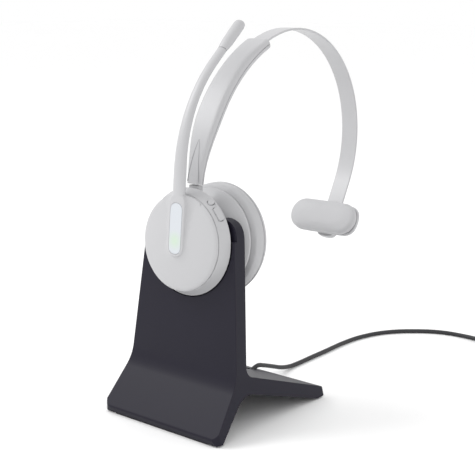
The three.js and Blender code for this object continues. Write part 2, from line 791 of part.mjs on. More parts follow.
// The arm's rounded-rectangle sections, as one closed body between two turns.
function armBody(stations, corner) {
  return skin(
    stations.map(([turn, width, thickness, lift = 0]) => {
      const { y, z } = armPoint(turn);
      const [w, t] = [width / 2, thickness / 2];
      const c = Math.min(corner, w * 0.98, t * 0.98);
      const ring = [];
      for (const [sx, sy] of [[1, 1], [-1, 1], [-1, -1], [1, -1]]) {
        for (let k = 0; k <= 3; k++) {
          const base = Math.atan2(sy, sx) - Math.PI / 4 + (k / 3) * (Math.PI / 2);
          ring.push([sx * (w - c) + c * Math.cos(base), sy * (t - c) + c * Math.sin(base) + lift]);
        }
      }
      return ring.map(([a, b]) => [a, y + b * Math.cos(turn), z - b * Math.sin(turn)]);
    }),
  );
}

// The band's channel inside the arm, open at the arm's top end.
const CHANNEL_START = degrees(36);
const TAIL_START = degrees(43);

function armStations() {
  const stations = [];
  const steps = 16;
  for (let i = 0; i <= steps; i++) {
    const t = i / steps;
    const grow = Math.min(1, t / 0.42);
    stations.push([
      ARM_START + (ARM_END - ARM_START) * t,
      smooth(10.6, ARM.width, grow),
      smooth(4.6, ARM.thickness, grow),
    ]);
  }
  stations.push([ARM_END + degrees(0.7), ARM.width - 2.4, ARM.thickness - 0.8]);
  stations.push([ARM_END + degrees(1.2), ARM.width - 6, ARM.thickness - 2.2]);
  return stations;
}

// Everything on the far side of a surface that follows the arm's curve, lifted from its centre line.
function beyondCurve(lift, outerSide) {
  const width = 40;
  const deep = 20;
  const stations = [];
  for (let turn = 0; turn <= 66; turn += 3) stations.push(degrees(turn));
  return skin(
    stations.map((turn) => {
      const { y, z } = armPoint(turn);
      const [near, far] = [lift, lift + (outerSide ? -deep : deep)];
      return [[-width / 2, near], [width / 2, near], [width / 2, far], [-width / 2, far]].map(([a, b]) => [
        a,
        y + b * Math.cos(turn),
        z - b * Math.sin(turn),
      ]);
    }),
  );
}

const armWhole = armBody(armStations(), 2.2);
const channelCut = armBody(
  Array.from({ length: 13 }, (_, i) => [
    CHANNEL_START + ((degrees(66) - CHANNEL_START) * i) / 12,
    BAND.width + 2 * GAP,
    BAND.thickness + 2 * GAP,
    BAND.lift,
  ]),
  0.3,
);
const armHollow = armWhole.subtract(channelCut).subtract(stemBore(STEM.high + 1));
add(leaning, "arm_outer_shell", armHollow.subtract(beyondCurve(-GAP / 2, false)), paleShell);
add(leaning, "arm_inner_shell", armHollow.subtract(beyondCurve(GAP / 2, true)), paleShell);

// ---- Headband: a sprung strip, its tail inside the arm -------------------------------------------

// Tangent point of the arm's curve and the band's circle, as a turn on the arm.
const JOIN_TURN = Math.atan2(BAND.z - ARM.z, ARM.y - BAND.y);
const BAND_FROM = JOIN_TURN; // the same direction on both circles
const BAND_TO = degrees(180 + 23); // measured on the band's circle, over the crown and down
const BAND_TAB = 26; // straight end behind the temple pad

function bandStations() {
  const stations = [];
  const push = (y, z, turn) => stations.push({ y, z, turn });
  const tailSteps = 6;
  for (let i = 0; i < tailSteps; i++) {
    const turn = TAIL_START + ((JOIN_TURN - TAIL_START) * i) / tailSteps;
    const { y, z } = armPoint(turn);
    push(y, z, turn);
  }
  const steps = 30;
  const centre = armPoint(JOIN_TURN);
  const along = new THREE.Vector2(-Math.cos(JOIN_TURN), Math.sin(JOIN_TURN));
  const middle = { y: centre.y - along.x * BAND.radius, z: centre.z - along.y * BAND.radius };
  let last;
  for (let i = 0; i <= steps; i++) {
    const turn = BAND_FROM + ((BAND_TO - BAND_FROM) * i) / steps;
    last = { y: middle.y - BAND.radius * Math.cos(turn), z: middle.z + BAND.radius * Math.sin(turn), turn };
    push(last.y, last.z, turn);
  }
  push(last.y + BAND_TAB * Math.sin(last.turn), last.z + BAND_TAB * Math.cos(last.turn), last.turn);
  return stations;
}

function strip(stations, width, thickness, lift) {
  return skin(
    stations.map(({ y, z, turn }) => {
      const [w, t] = [width / 2, thickness / 2];
      const e = 0.35; // edge chamfer
      const section = [
        [w, -t + e],
        [w, t - e],
        [w - e, t],
        [-w + e, t],
        [-w, t - e],
        [-w, -t + e],
        [-w + e, -t],
        [w - e, -t],
      ];
      return section.map(([a, b]) => [
        a,
        y + (b + lift) * Math.cos(turn),
        z - (b + lift) * Math.sin(turn),
      ]);
    }),
  );
}
const bandLine = bandStations();
add(leaning, "headband_strip", strip(bandLine, BAND.width, BAND.thickness, BAND.lift), paleShell);

const bandEnd = bandLine[bandLine.length - 1];
const bandEndFrame = new THREE.Matrix4()
  .makeRotationX(-bandEnd.turn)
  .setPosition(0, bandEnd.y, bandEnd.z);
// ---- Temple pad: a T-bar that tilts on the band's end --------------------------------------------

// Here +y faces the head and +z runs on along the band towards its tip.
const atBandEnd = (made) => moved(made, bandEndFrame);
const HINGE = { y: 2.1, z: PAD.drop, radius: 0.7 };
const LUG = { from: 3.4, to: 5.4, radius: 1.5 };
const KNUCKLE = { half: 3, radius: 1.3 };
const CLIP_FRONT = 0.5;

function bandEndClip() {
  const back = -4.6;
  const shape = rectangle(-6.9, 6.9, -11, 13.6, 5.4);
  const flatSlab = new THREE.ExtrudeGeometry(shape, {
    depth: 3.4,
    bevelThickness: 1.2,
    bevelSize: 1.2,
    bevelOffset: -1.2,
    bevelSegments: 2,
    curveSegments: 5,
  });
  let clip = solid(flatSlab.rotateX(Math.PI / 2).translate(0, back + 1.2 + 3.4, 0));
  clip = clip.subtract(box(-20, 20, CLIP_FRONT, 10, -20, 20));
  for (const side of [-1, 1]) {
    const [x0, x1] = side > 0 ? [LUG.from, LUG.to] : [-LUG.to, -LUG.from];
    clip = clip.add(rodX(LUG.radius, x0, x1, HINGE.y, HINGE.z, 20));
    clip = clip.add(box(x0, x1, 0.1, HINGE.y, HINGE.z - LUG.radius, HINGE.z + LUG.radius));
  }
  const slot = box(-BAND.width / 2 - GAP, BAND.width / 2 + GAP, -1.5 - GAP, -0.3 + GAP, -30, GAP);
  return clip.subtract(slot).subtract(rodX(HINGE.radius + 0.2, -8, 8, HINGE.y, HINGE.z));
}
add(leaning, "band_end_clip", atBandEnd(bandEndClip()), paleShell);
add(leaning, "pad_pin", atBandEnd(rodX(HINGE.radius, -5.2, 5.2, HINGE.y, HINGE.z)), steel);

// A pad-shaped slab between two heights, with both its rims rounded over.
function padSlab(y0, y1, edge, grow = 0) {
  const [a, c] = [PAD.length / 2 + grow, PAD.height / 2 + grow];
  const shape = rectangle(-a, a, PAD.drop - c, PAD.drop + c, c - 0.4);
  const slab = new THREE.ExtrudeGeometry(shape, {
    depth: y1 - y0 - 2 * edge,
    bevelThickness: edge,
    bevelSize: edge,
    bevelOffset: -edge,
    bevelSegments: 4,
    curveSegments: 7,
  });
  return solid(slab.rotateX(Math.PI / 2).translate(0, y1 - edge, 0));
}

function padBase() {
  let base = padSlab(PAD.back, PAD.back + PAD.base, 0.8);
  base = base.add(rodX(KNUCKLE.radius, -KNUCKLE.half, KNUCKLE.half, HINGE.y, HINGE.z, 20));
  base = base.add(box(-KNUCKLE.half, KNUCKLE.half, HINGE.y, PAD.back + 1, HINGE.z - 1.2, HINGE.z + 1.2));
  for (const side of [-1, 1]) {
    const [x0, x1] = side > 0 ? [LUG.from - 0.4, LUG.to + 0.4] : [-LUG.to - 0.4, -LUG.from + 0.4];
    base = base.subtract(rodX(LUG.radius + 0.5, x0, x1, HINGE.y, HINGE.z, 20));
  }
  return base.subtract(rodX(HINGE.radius + 0.2, -8, 8, HINGE.y, HINGE.z));
}
add(leaning, "pad_base", atBandEnd(padBase()), paleShell);
const padBack = PAD.back + PAD.base + GAP;
add(leaning, "temple_pad", atBandEnd(padSlab(padBack, padBack + PAD.thickness, 3.2, 0.2)), paleSoft);

// ---- Cord: out of the rear leg, over the toe, along the table to a tied coil and its plug --------

const CORD_START = { y: 83.6, z: 9.2 };
const COIL = { x: 92, y: 274, radius: 16, half: 4.4, z: 5.3 };
const FLOOR_Z = CORD.diameter / 2 + 0.1;

// Height over the table and distance back for the hanging part.
const CORD_FALL = [
  [CORD_START.y, CORD_START.z],
  [85.6, 10],
  [87.6, 10.7],
  [89.6, 11.3],
  [92, 11.8],
  [94.4, 11.7],
  [98.5, 10.5],
  [103.7, 8.7],
  [110.1, 6.4],
  [116.5, 4.1],
  [125.2, 2.1],
  [134.1, FLOOR_Z],
  [150, FLOOR_Z],
  [170, FLOOR_Z],
  [192.9, FLOOR_Z],
];
// Then a bend to the right on the table, rising at the end to the coil's side.
const CORD_TURN = [
  [1, 211, FLOOR_Z],
  [9, 230, FLOOR_Z],
  [23, 245, FLOOR_Z],
  [40, 255, FLOOR_Z],
  [57, 257.4, FLOOR_Z],
  [69, 256.2, 1.8],
  [81.6, 255.2, 2.2],
];
const cordPoints = [
  ...CORD_FALL.map(([y, z]) => new THREE.Vector3(CORD.x, y, z)),
  ...CORD_TURN.map((point) => new THREE.Vector3(...point)),
];

function roundTube(points, steps) {
  const radius = CORD.diameter / 2;
  const section = new THREE.Shape();
  const sides = 8;
  for (let i = 0; i < sides; i++) {
    const turn = (2 * Math.PI * (i + 0.5)) / sides;
    const [a, b] = [radius * Math.cos(turn), radius * Math.sin(turn)];
    if (i === 0) section.moveTo(a, b);
    else section.lineTo(a, b);
  }
  section.closePath();
  const path = new THREE.CatmullRomCurve3(points, false, "centripetal");
  return solid(new THREE.ExtrudeGeometry(section, { steps, extrudePath: path, bevelEnabled: false }));
}
add(stand, "cord_tube", roundTube(cordPoints, 54), blackRubber);

add(stand, "cable_grommet", box(CORD.x - 2.8, CORD.x + 2.8, 79.3, 82.5, 7.6, 12.4), blackRubber);

// Three layers of three turns, as one ring of a rounded square section.
function coilRing() {
  const { x, y, z, radius, half } = COIL;
  const round = CORD.diameter / 2;
  const shape = rectangle(radius - half, radius + half, -half, half, round);
  const profile = shape.getPoints(2).reverse();
  const ring = new THREE.LatheGeometry([...profile, profile[0]], 40).rotateX(Math.PI / 2);
  return solid(ring.translate(x, y, z));
}
add(stand, "cord_coil", coilRing(), blackRubber);

// A strap closed round the coil's far side, just over the table at its lowest.
function cordTie() {
  const [half, inner, wall] = [3, COIL.half + GAP, 0.5];
  const outside = inner + wall;
  const bow = 0.5; // the turns curve inside the strap's width
  const [near, far] = [COIL.y + COIL.radius - bow, COIL.y + COIL.radius];
  const outer = rectangle(near - outside, far + outside, COIL.z - outside, COIL.z + outside, 1.6);
  const hole = rectangle(near - inner, far + inner, COIL.z - inner, COIL.z + inner, 1.2);
  const sleeve = acrossX(outer, COIL.x - half, COIL.x + half, 4);
  return sleeve.subtract(acrossX(hole, COIL.x - half - 1, COIL.x + half + 1, 4));
}
add(stand, "cord_tie", cordTie(), blackRubber);

// The tail runs from the coil's far side to the plug.
const PLUG = { x: 135, y: 260.9, half: 7.5, height: 8, length: 18, shellLength: 12 };
const tailPoints = [
  [109.4, 6.4],
  [113, 4.6],
  [120, 3],
  [127, 3.6],
  [PLUG.x - GAP, 4.1],
].map(([x, z]) => new THREE.Vector3(x, PLUG.y, z));
add(stand, "cord_tail", roundTube(tailPoints, 6), blackRubber);

{
  const { x, y, half, height, length, shellLength } = PLUG;
  const bodyOutline = rectangle(x, x + length, y - half, y + half, 2);
  const cavity = box(x + 4, x + length + 1, y - 5.4, y + 5.4, 2, 6.4);
  add(stand, "usb_plug_body", acrossZ(bodyOutline, 0.2, height, 3).subtract(cavity), blackRubber);
  const shellStart = x + 4.4;
  const shellEnd = x + length + shellLength;
  const outer = box(shellStart, shellEnd, y - 5.1, y + 5.1, 2.3, 6.1);
  const hollow = box(shellStart + 1, shellEnd + 1, y - 4.7, y + 4.7, 2.7, 5.7);
  const tongue = box(shellStart + 0.5, shellEnd - 1, y - 4.4, y + 4.4, 2.3, 4.1);
  add(stand, "usb_plug_shell", outer.subtract(hollow).add(tongue), steel);
}

export default root;
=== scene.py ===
import math

import bmesh
import bpy
from mathutils import Matrix, Vector, noise


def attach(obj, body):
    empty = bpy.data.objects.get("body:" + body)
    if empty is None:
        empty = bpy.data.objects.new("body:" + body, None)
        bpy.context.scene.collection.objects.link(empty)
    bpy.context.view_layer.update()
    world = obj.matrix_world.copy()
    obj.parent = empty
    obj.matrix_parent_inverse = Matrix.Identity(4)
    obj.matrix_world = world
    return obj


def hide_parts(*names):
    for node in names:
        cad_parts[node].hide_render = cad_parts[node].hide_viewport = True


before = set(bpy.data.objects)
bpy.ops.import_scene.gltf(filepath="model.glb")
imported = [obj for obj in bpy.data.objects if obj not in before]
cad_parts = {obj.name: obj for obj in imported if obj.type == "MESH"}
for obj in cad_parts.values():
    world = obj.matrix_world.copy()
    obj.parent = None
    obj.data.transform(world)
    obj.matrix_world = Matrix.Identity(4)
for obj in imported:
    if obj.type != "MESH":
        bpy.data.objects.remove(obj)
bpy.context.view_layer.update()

MM = 0.001

# ---- Camera --------------------------------------------------------------------------------------
# A long lens a little above the headset, looking down on the stand's front and right side.

# These are in metres.
CAMERA_PLACE = Vector((0.38556, -0.49739, 0.23682))
CAMERA_AIM = Vector((0, -0.02397, 0.09819))
camera_data = bpy.data.cameras.new("camera")
camera_data.lens = 80.07
camera_data.sensor_width = 36
camera = bpy.data.objects.new("camera", camera_data)
camera.location = CAMERA_PLACE
camera.rotation_euler = (CAMERA_AIM - CAMERA_PLACE).to_track_quat("-Z", "Y").to_euler()
bpy.context.scene.collection.objects.link(camera)
bpy.context.scene.camera = camera

# ---- Cord ----------------------------------------------------------------------------------------
# A thin USB lead in a soft PVC sheath. It leaves a grommet in the rear leg, drops over the toe,
# runs along the table and ends in a tied coil of three layers of three turns.

CORD_DIAMETER = 2.8
CORD_X = -1.5
FRONT_TOE_Y = -95.168  # the stand's front toe; the route is measured back from it
CORD_FALL = [  # distance back and height over the table
    (83.6, 9.2),
    (85.6, 10),
    (87.6, 10.7),
    (89.6, 11.3),
    (92, 11.8),
    (94.4, 11.7),
    (98.5, 10.5),
    (103.7, 8.7),
    (110.1, 6.4),
    (116.5, 4.1),
    (125.2, 2.1),
    (134.1, 1.5),
    (150, 1.5),
    (170, 1.5),
    (192.9, 1.5),
]
CORD_TURN = [
    (1, 211, 1.5),
    (9, 230, 1.5),
    (23, 245, 1.5),
    (40, 255, 1.5),
    (57, 257.4, 1.5),
    (69, 256.2, 1.8),
    (81.6, 255.2, 2.2),
]
CORD_TAIL = [
    (96, 260.85, 11),
    (100, 260.85, 11),
    (104, 260.85, 11),
    (106.6, 260.87, 10.7),
    (109.4, 260.9, 9.5),
    (112, 260.9, 7),
    (114.6, 260.9, 4.6),
    (118.6, 260.9, 3.1),
    (123, 260.9, 3.2),
    (128, 260.9, 3.7),
    (134.7, 260.9, 4.1),
]
COIL_X, COIL_Y = 92, 274
COIL_STEP = 2.85  # turn to turn
COIL_RADII = (13.15, 16, 18.85)
COIL_HEIGHTS = (2.45, 5.3, 8.15)
COIL_SHIFTS = [0.77, 0.77, 0.728, 0.686, 0.686, 0.644, 0.602, 0.602, 0.56]  # shares of a turn
COIL_SHIFT_LENGTH = 0.14  # share of a turn that a shift takes
COIL_TURN_POINTS = 36


def smooth_step(share):
    """0 up to 0, 1 from 1, and an S-curve between."""
    share = min(1, max(0, share))
    return share * share * (3 - 2 * share)


def coil_points():
    """The turns, from the outside of the bottom layer up. Each shifts to its next place late on."""
    inner, middle, outer = COIL_RADII
    places = [(r, COIL_HEIGHTS[0]) for r in (outer, middle, inner)]
    places += [(r, COIL_HEIGHTS[1]) for r in (inner, middle, outer)]
    places += [(r, COIL_HEIGHTS[2]) for r in (outer, middle, inner)]
    places.append((inner, COIL_HEIGHTS[2] + COIL_STEP))
    points = []
    for turn, start in enumerate(COIL_SHIFTS):
        (radius, height), (next_radius, next_height) = places[turn], places[turn + 1]
        for step in range(COIL_TURN_POINTS):
            share = step / COIL_TURN_POINTS
            moved = smooth_step((share - start) / COIL_SHIFT_LENGTH)
            r = radius + (next_radius - radius) * moved
            z = height + (next_height - height) * moved
            angle = 2 * math.pi * share - math.pi / 2
            points.append((COIL_X + r * math.cos(angle), COIL_Y + r * math.sin(angle), z))
    points.append((COIL_X, COIL_Y - inner, COIL_HEIGHTS[2] + COIL_STEP))
    return points


def on_table(points):
    """Route points, measured back from the front toe in millimetres, as places in metres."""
    return [Vector((x, y + FRONT_TOE_Y, z)) * MM for x, y, z in points]


def smooth_curve(name, points, radius, rings=3):
    """A round tube of the radius in metres on a smooth curve through the points."""
    data = bpy.data.curves.new(name, "CURVE")
    data.dimensions = "3D"
    data.resolution_u = 4
    data.bevel_depth = radius
    data.bevel_resolution = rings
    data.use_fill_caps = True
    spline = data.splines.new("BEZIER")
    spline.bezier_points.add(len(points) - 1)
    for bezier, point in zip(spline.bezier_points, points):
        bezier.co = point
        bezier.handle_left_type = "AUTO"
        bezier.handle_right_type = "AUTO"
    piece = bpy.data.objects.new(name, data)
    bpy.context.scene.collection.objects.link(piece)
    return piece


def linear(code):
    """An sRGB hex colour as linear red, green, blue and alpha."""
    channels = [int(code[i : i + 2], 16) / 255 for i in (0, 2, 4)]
    return [c / 12.92 if c <= 0.04045 else ((c + 0.055) / 1.055) ** 2.4 for c in channels] + [1]


def add_node(tree, kind, sockets=None, **settings):
    """Adds a shader node. Settings go on the node, and values or links on its sockets."""
    made = tree.nodes.new("ShaderNode" + kind)
    for name, value in settings.items():
        setattr(made, name, value)
    for name, value in (sockets or {}).items():
        if isinstance(value, bpy.types.NodeSocket):
            tree.links.new(value, made.inputs[name])
        else:
            made.inputs[name].default_value = value
    return made


def empty_material(name):
    """A new material without nodes, and its node tree."""
    material = bpy.data.materials.new(name)
    material.use_nodes = True
    material.node_tree.nodes.clear()
    return material, material.node_tree


# Mix node sockets for colours, by place.
MIX_A, MIX_B, MIX_RESULT = 6, 7, 2


def pvc_sheath():
    """Soft PVC, extruded: near black, with a low sheen and the faint ripple of its drawing."""
    material, tree = empty_material("pvc_extruded_black")
    place = add_node(tree, "TexCoord").outputs["Object"]
    ripple = add_node(tree, "TexNoise", {"Vector": place, "Scale": 1 / (1.1 * MM), "Detail": 2})
    handled = add_node(tree, "TexNoise", {"Vector": place, "Scale": 1 / (22 * MM), "Detail": 3})
    colour = add_node(
        tree,
        "Mix",
        {"Factor": handled.outputs["Fac"], MIX_A: linear("1b1b1e"), MIX_B: linear("26262a")},
        data_type="RGBA",
    )
    gloss = add_node(
        tree, "MapRange", {"Value": handled.outputs["Fac"], "To Min": 0.38, "To Max": 0.5}
    )
    bump = add_node(
        tree, "Bump", {"Height": ripple.outputs["Fac"], "Strength": 0.25, "Distance": 0.03 * MM}
    )
    shader = add_node(
        tree,
        "BsdfPrincipled",
        {
            "Base Color": colour.outputs[MIX_RESULT],
            "Roughness": gloss.outputs["Result"],
            "IOR": 1.53,
            "Normal": bump.outputs["Normal"],
        },
    )
    add_node(tree, "OutputMaterial", {"Surface": shader.outputs["BSDF"]})
    return material


pvc_black = pvc_sheath()
cord_route = [(CORD_X, y, z) for y, z in CORD_FALL] + CORD_TURN + coil_points() + CORD_TAIL
cord_places = on_table(cord_route)
usb_lead = smooth_curve("usb_lead", cord_places, CORD_DIAMETER / 2 * MM)
usb_lead.data.materials.append(pvc_black)
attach(usb_lead, "stand")
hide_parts("cord_tube", "cord_coil", "cord_tail")

# ---- USB plug and cord tie -----------------------------------------------------------------------
# The plug is an overmoulded grip round a pressed and nickel-plated steel shell. The tie is a short
# sleeve of silicone, stretched over the coil.

WELD_DISTANCE = 0.002  # corners nearer than this are one
FLAT_LIMIT = math.radians(0.4)  # triangles that meet at less than this are one face
SMOOTH_LIMIT = math.radians(30)  # edges sharper than this are broken
MOST_CORNERS = 40  # faces with more are cut into triangles, or a broken edge folds them over


def dressed(node, name, material, body, edge):
    """A copy of a CAD node: flat faces whole, curves smooth, sharp edges broken by edge millimetres."""
    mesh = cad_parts[node].data.copy()
    mesh.name = name
    shape = bmesh.new()
    shape.from_mesh(mesh)
    bmesh.ops.remove_doubles(shape, verts=shape.verts, dist=WELD_DISTANCE * MM)
    bmesh.ops.dissolve_limit(
        shape, angle_limit=FLAT_LIMIT, verts=shape.verts, edges=shape.edges
    )
    many_sided = [face for face in shape.faces if len(face.verts) > MOST_CORNERS]
    bmesh.ops.triangulate(shape, faces=many_sided)
    for face in shape.faces:
        face.smooth = True
    shape.to_mesh(mesh)
    shape.free()
    mesh.materials.clear()
    mesh.materials.append(material)
    piece = bpy.data.objects.new(name, mesh)
    bpy.context.scene.collection.objects.link(piece)
    bevel = piece.modifiers.new("broken_edges", "BEVEL")
    bevel.width = edge * MM
    bevel.segments = 2
    bevel.limit_method = "ANGLE"
    bevel.angle_limit = SMOOTH_LIMIT
    bevel.use_clamp_overlap = False
    bevel.miter_outer = "MITER_ARC"
    weighted = piece.modifiers.new("flat_faces", "WEIGHTED_NORMAL")
    weighted.weight = 80
    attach(piece, body)
    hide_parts(node)
    return piece


def plated_steel():
    """Steel with a bright nickel plate: a cool grey mirror, slightly clouded by handling."""
    material, tree = empty_material("steel_nickel_plated")
    place = add_node(tree, "TexCoord").outputs["Object"]
    clouds = add_node(tree, "TexNoise", {"Vector": place, "Scale": 1 / (3 * MM), "Detail": 4})
    gloss = add_node(
        tree, "MapRange", {"Value": clouds.outputs["Fac"], "To Min": 0.2, "To Max": 0.36}
    )
    shader = add_node(
        tree,
        "BsdfPrincipled",
        {
            "Base Color": linear("c4c5c8"),
            "Metallic": 1,
            "Roughness": gloss.outputs["Result"],
        },
    )
    add_node(tree, "OutputMaterial", {"Surface": shader.outputs["BSDF"]})
    return material


def silicone_rubber():
    """Silicone rubber, moulded: dull black with a dusting that lightens it in patches."""
    material, tree = empty_material("silicone_moulded_black")
    place = add_node(tree, "TexCoord").outputs["Object"]
    dust = add_node(tree, "TexNoise", {"Vector": place, "Scale": 1 / (9 * MM), "Detail": 5})
    skin = add_node(tree, "TexNoise", {"Vector": place, "Scale": 1 / (0.5 * MM), "Detail": 1})
    colour = add_node(
        tree,
        "Mix",
        {"Factor": dust.outputs["Fac"], MIX_A: linear("131315"), MIX_B: linear("1e1e21")},
        data_type="RGBA",
    )
    bump = add_node(
        tree, "Bump", {"Height": skin.outputs["Fac"], "Strength": 0.2, "Distance": 0.02 * MM}
    )
    shader = add_node(
        tree,
        "BsdfPrincipled",
        {
            "Base Color": colour.outputs[MIX_RESULT],
            "Roughness": 0.62,
            "IOR": 1.41,
            "Normal": bump.outputs["Normal"],
        },
    )
    add_node(tree, "OutputMaterial", {"Surface": shader.outputs["BSDF"]})
    return material


nickel_plate = plated_steel()
silicone_black = silicone_rubber()
plug_grip = dressed("usb_plug_body", "plug_grip", silicone_black, "stand", edge=0.2)
plug_shell = dressed("usb_plug_shell", "plug_shell", nickel_plate, "stand", edge=0.06)
coil_tie = dressed("cord_tie", "coil_tie", silicone_black, "stand", edge=0.15)

# ---- Stand casing --------------------------------------------------------------------------------
# One injection moulding in charcoal ABS: the leaning blade, its foot and the rear leg. A cover over
# the blade's back and a plate under the leg are moulded from the same plastic.


def charcoal_abs():
    """ABS moulded in a spark-eroded tool: charcoal with a violet cast, and a fine even grain."""
    material, tree = empty_material("abs_spark_textured_charcoal")
    place = add_node(tree, "TexCoord").outputs["Object"]
    # The real grain is about 0.1 mm; it is drawn at 0.45 mm so that it shows.
    grain = add_node(
        tree, "TexNoise", {"Vector": place, "Scale": 1 / (0.45 * MM), "Detail": 2, "Roughness": 0.7}
    )
    flow = add_node(tree, "TexNoise", {"Vector": place, "Scale": 1 / (35 * MM), "Detail": 3})
    tone = add_node(
        tree,
        "Mix",
        {"Factor": flow.outputs["Fac"], MIX_A: linear("1b1925"), MIX_B: linear("1e1c29")},
        data_type="RGBA",
    )
    speck = add_node(
        tree, "MapRange", {"Value": grain.outputs["Fac"], "To Min": 0.86, "To Max": 1.12}
    )
    colour = add_node(
        tree,
        "VectorMath",
        {0: tone.outputs[MIX_RESULT], "Scale": speck.outputs["Result"]},
        operation="SCALE",
    )
    gloss = add_node(
        tree, "MapRange", {"Value": grain.outputs["Fac"], "To Min": 0.38, "To Max": 0.5}
    )
    bump = add_node(
        tree, "Bump", {"Height": grain.outputs["Fac"], "Strength": 0.35, "Distance": 0.02 * MM}
    )
    shader = add_node(
        tree,
        "BsdfPrincipled",
        {
            "Base Color": colour.outputs["Vector"],
            "Roughness": gloss.outputs["Result"],
            "IOR": 1.54,
            "Specular IOR Level": 0.18,
            "Normal": bump.outputs["Normal"],
        },
    )
    add_node(tree, "OutputMaterial", {"Surface": shader.outputs["BSDF"]})
    return material


abs_charcoal = charcoal_abs()
dressed("stand_body", "stand_casing", abs_charcoal, "stand", edge=0.2)
dressed("blade_rear_cover", "rear_cover", abs_charcoal, "stand", edge=0.12)
dressed("rear_leg_plate", "leg_plate", abs_charcoal, "stand", edge=0.25)
dressed("rear_weight", "leg_weight", nickel_plate, "stand", edge=0.3)
for number in range(1, 5):
    dressed(f"cover_screw_{number}", f"screw_{number}", nickel_plate, "stand", edge=0.08)

# ---- Rubber parts of the stand -------------------------------------------------------------------
# Silicone strips glued under both toes, the liner that the headset's neck sits in, and the grommet
# that holds the cord in the leg's trough. The liner's black is partly painted shade for the deep recess
# and notch.

dressed("front_rubber_foot", "front_foot", silicone_black, "stand", edge=0.15)
dressed("rear_rubber_foot", "rear_foot", silicone_black, "stand", edge=0.15)
# Black liner in the recess and notch; its black also serves as painted shade there.
dressed("saddle_liner", "neck_liner_and_painted_shade", silicone_black, "stand", edge=0.12)
dressed("cable_grommet", "cord_grommet", silicone_black, "stand", edge=0.6)

# ---- Charging contacts ---------------------------------------------------------------------------
# Two sprung pins in a nylon block, on a small board behind the cover. They meet two gold-plated pads
# under the headset's neck.


def gold_plate():
    """Brass with a hard gold flash: warm and polished, worn a little dull where it rubs."""
    material, tree = empty_material("brass_gold_plated")
    place = add_node(tree, "TexCoord").outputs["Object"]
    wear = add_node(tree, "TexNoise", {"Vector": place, "Scale": 1 / (0.8 * MM), "Detail": 3})
    gloss = add_node(tree, "MapRange", {"Value": wear.outputs["Fac"], "To Min": 0.16, "To Max": 0.4})
    shader = add_node(
        tree,
        "BsdfPrincipled",
        {"Base Color": linear("e3bd68"), "Metallic": 1, "Roughness": gloss.outputs["Result"]},
    )
    add_node(tree, "OutputMaterial", {"Surface": shader.outputs["BSDF"]})
    return material


def nylon_grey():
    """Nylon, moulded for inner parts: mid grey, waxy and plain."""
    material, tree = empty_material("nylon_moulded_grey")
    place = add_node(tree, "TexCoord").outputs["Object"]
    flow = add_node(tree, "TexNoise", {"Vector": place, "Scale": 1 / (6 * MM), "Detail": 3})
    colour = add_node(
        tree,
        "Mix",
        {"Factor": flow.outputs["Fac"], MIX_A: linear("85858a"), MIX_B: linear("929297")},
        data_type="RGBA",
    )
    shader = add_node(
        tree,
        "BsdfPrincipled",
        {"Base Color": colour.outputs[MIX_RESULT], "Roughness": 0.55, "IOR": 1.53},
    )
    add_node(tree, "OutputMaterial", {"Surface": shader.outputs["BSDF"]})
    return material


def board_laminate():
    """Glass-fibre board under green solder mask: glossy, with the weave just showing through."""
    material, tree = empty_material("fibreglass_board_solder_masked")
    place = add_node(tree, "TexCoord").outputs["Object"]
    weave = add_node(tree, "TexVoronoi", {"Vector": place, "Scale": 1 / (0.6 * MM)})
    colour = add_node(
        tree,
        "Mix",
        {"Factor": weave.outputs["Distance"], MIX_A: linear("1c5436"), MIX_B: linear("24643f")},
        data_type="RGBA",
    )
    shader = add_node(
        tree,
        "BsdfPrincipled",
        {"Base Color": colour.outputs[MIX_RESULT], "Roughness": 0.3, "IOR": 1.55},
    )
    add_node(tree, "OutputMaterial", {"Surface": shader.outputs["BSDF"]})
    return material


gold_contact = gold_plate()
nylon = nylon_grey()
green_board = board_laminate()
dressed("contact_block", "pin_block", nylon, "stand", edge=0.2)
dressed("charge_board", "stand_board", green_board, "stand", edge=0.05)
for side in ("left", "right"):
    dressed(f"pin_barrel_{side}", f"barrel_{side}", gold_contact, "stand", edge=0.05)
    dressed(
        f"charge_pin_{side}",
        f"pin_{side}",
        gold_contact,
        f"charge_pin_{side}",
        edge=0.25,
    )
    dressed(f"charge_pad_{side}", f"neck_pad_{side}", gold_contact, "cup", edge=0.1)

# ---- Headset shells ------------------------------------------------------------------------------
# Thin satin ABS mouldings in pale grey: the cup, the speaker housing, the boom in one with the cup's
# domed face, the arm's two halves, and the buttons. They snap together and leave fine joint lines.


def pale_abs():
    """ABS moulded in a satin tool: pale neutral grey, an even low gloss with a very fine grain."""
    material, tree = empty_material("abs_satin_pale_grey")
    place = add_node(tree, "TexCoord").outputs["Object"]
    # The real grain is about 0.05 mm; it is drawn at 0.3 mm so that it shows close up.
    grain = add_node(tree, "TexNoise", {"Vector": place, "Scale": 1 / (0.3 * MM), "Detail": 2})
    flow = add_node(tree, "TexNoise", {"Vector": place, "Scale": 1 / (28 * MM), "Detail": 3})
    tone = add_node(
        tree,
        "Mix",
        {"Factor": flow.outputs["Fac"], MIX_A: linear("b7b7b9"), MIX_B: linear("bcbcbe")},
        data_type="RGBA",
    )
    gloss = add_node(
        tree, "MapRange", {"Value": flow.outputs["Fac"], "To Min": 0.36, "To Max": 0.48}
    )
    bump = add_node(
        tree, "Bump", {"Height": grain.outputs["Fac"], "Strength": 0.15, "Distance": 0.01 * MM}
    )
    shader = add_node(
        tree,
        "BsdfPrincipled",
        {
            "Base Color": tone.outputs[MIX_RESULT],
            "Roughness": gloss.outputs["Result"],
            "IOR": 1.54,
            "Normal": bump.outputs["Normal"],
        },
    )
    add_node(tree, "OutputMaterial", {"Surface": shader.outputs["BSDF"]})
    return material


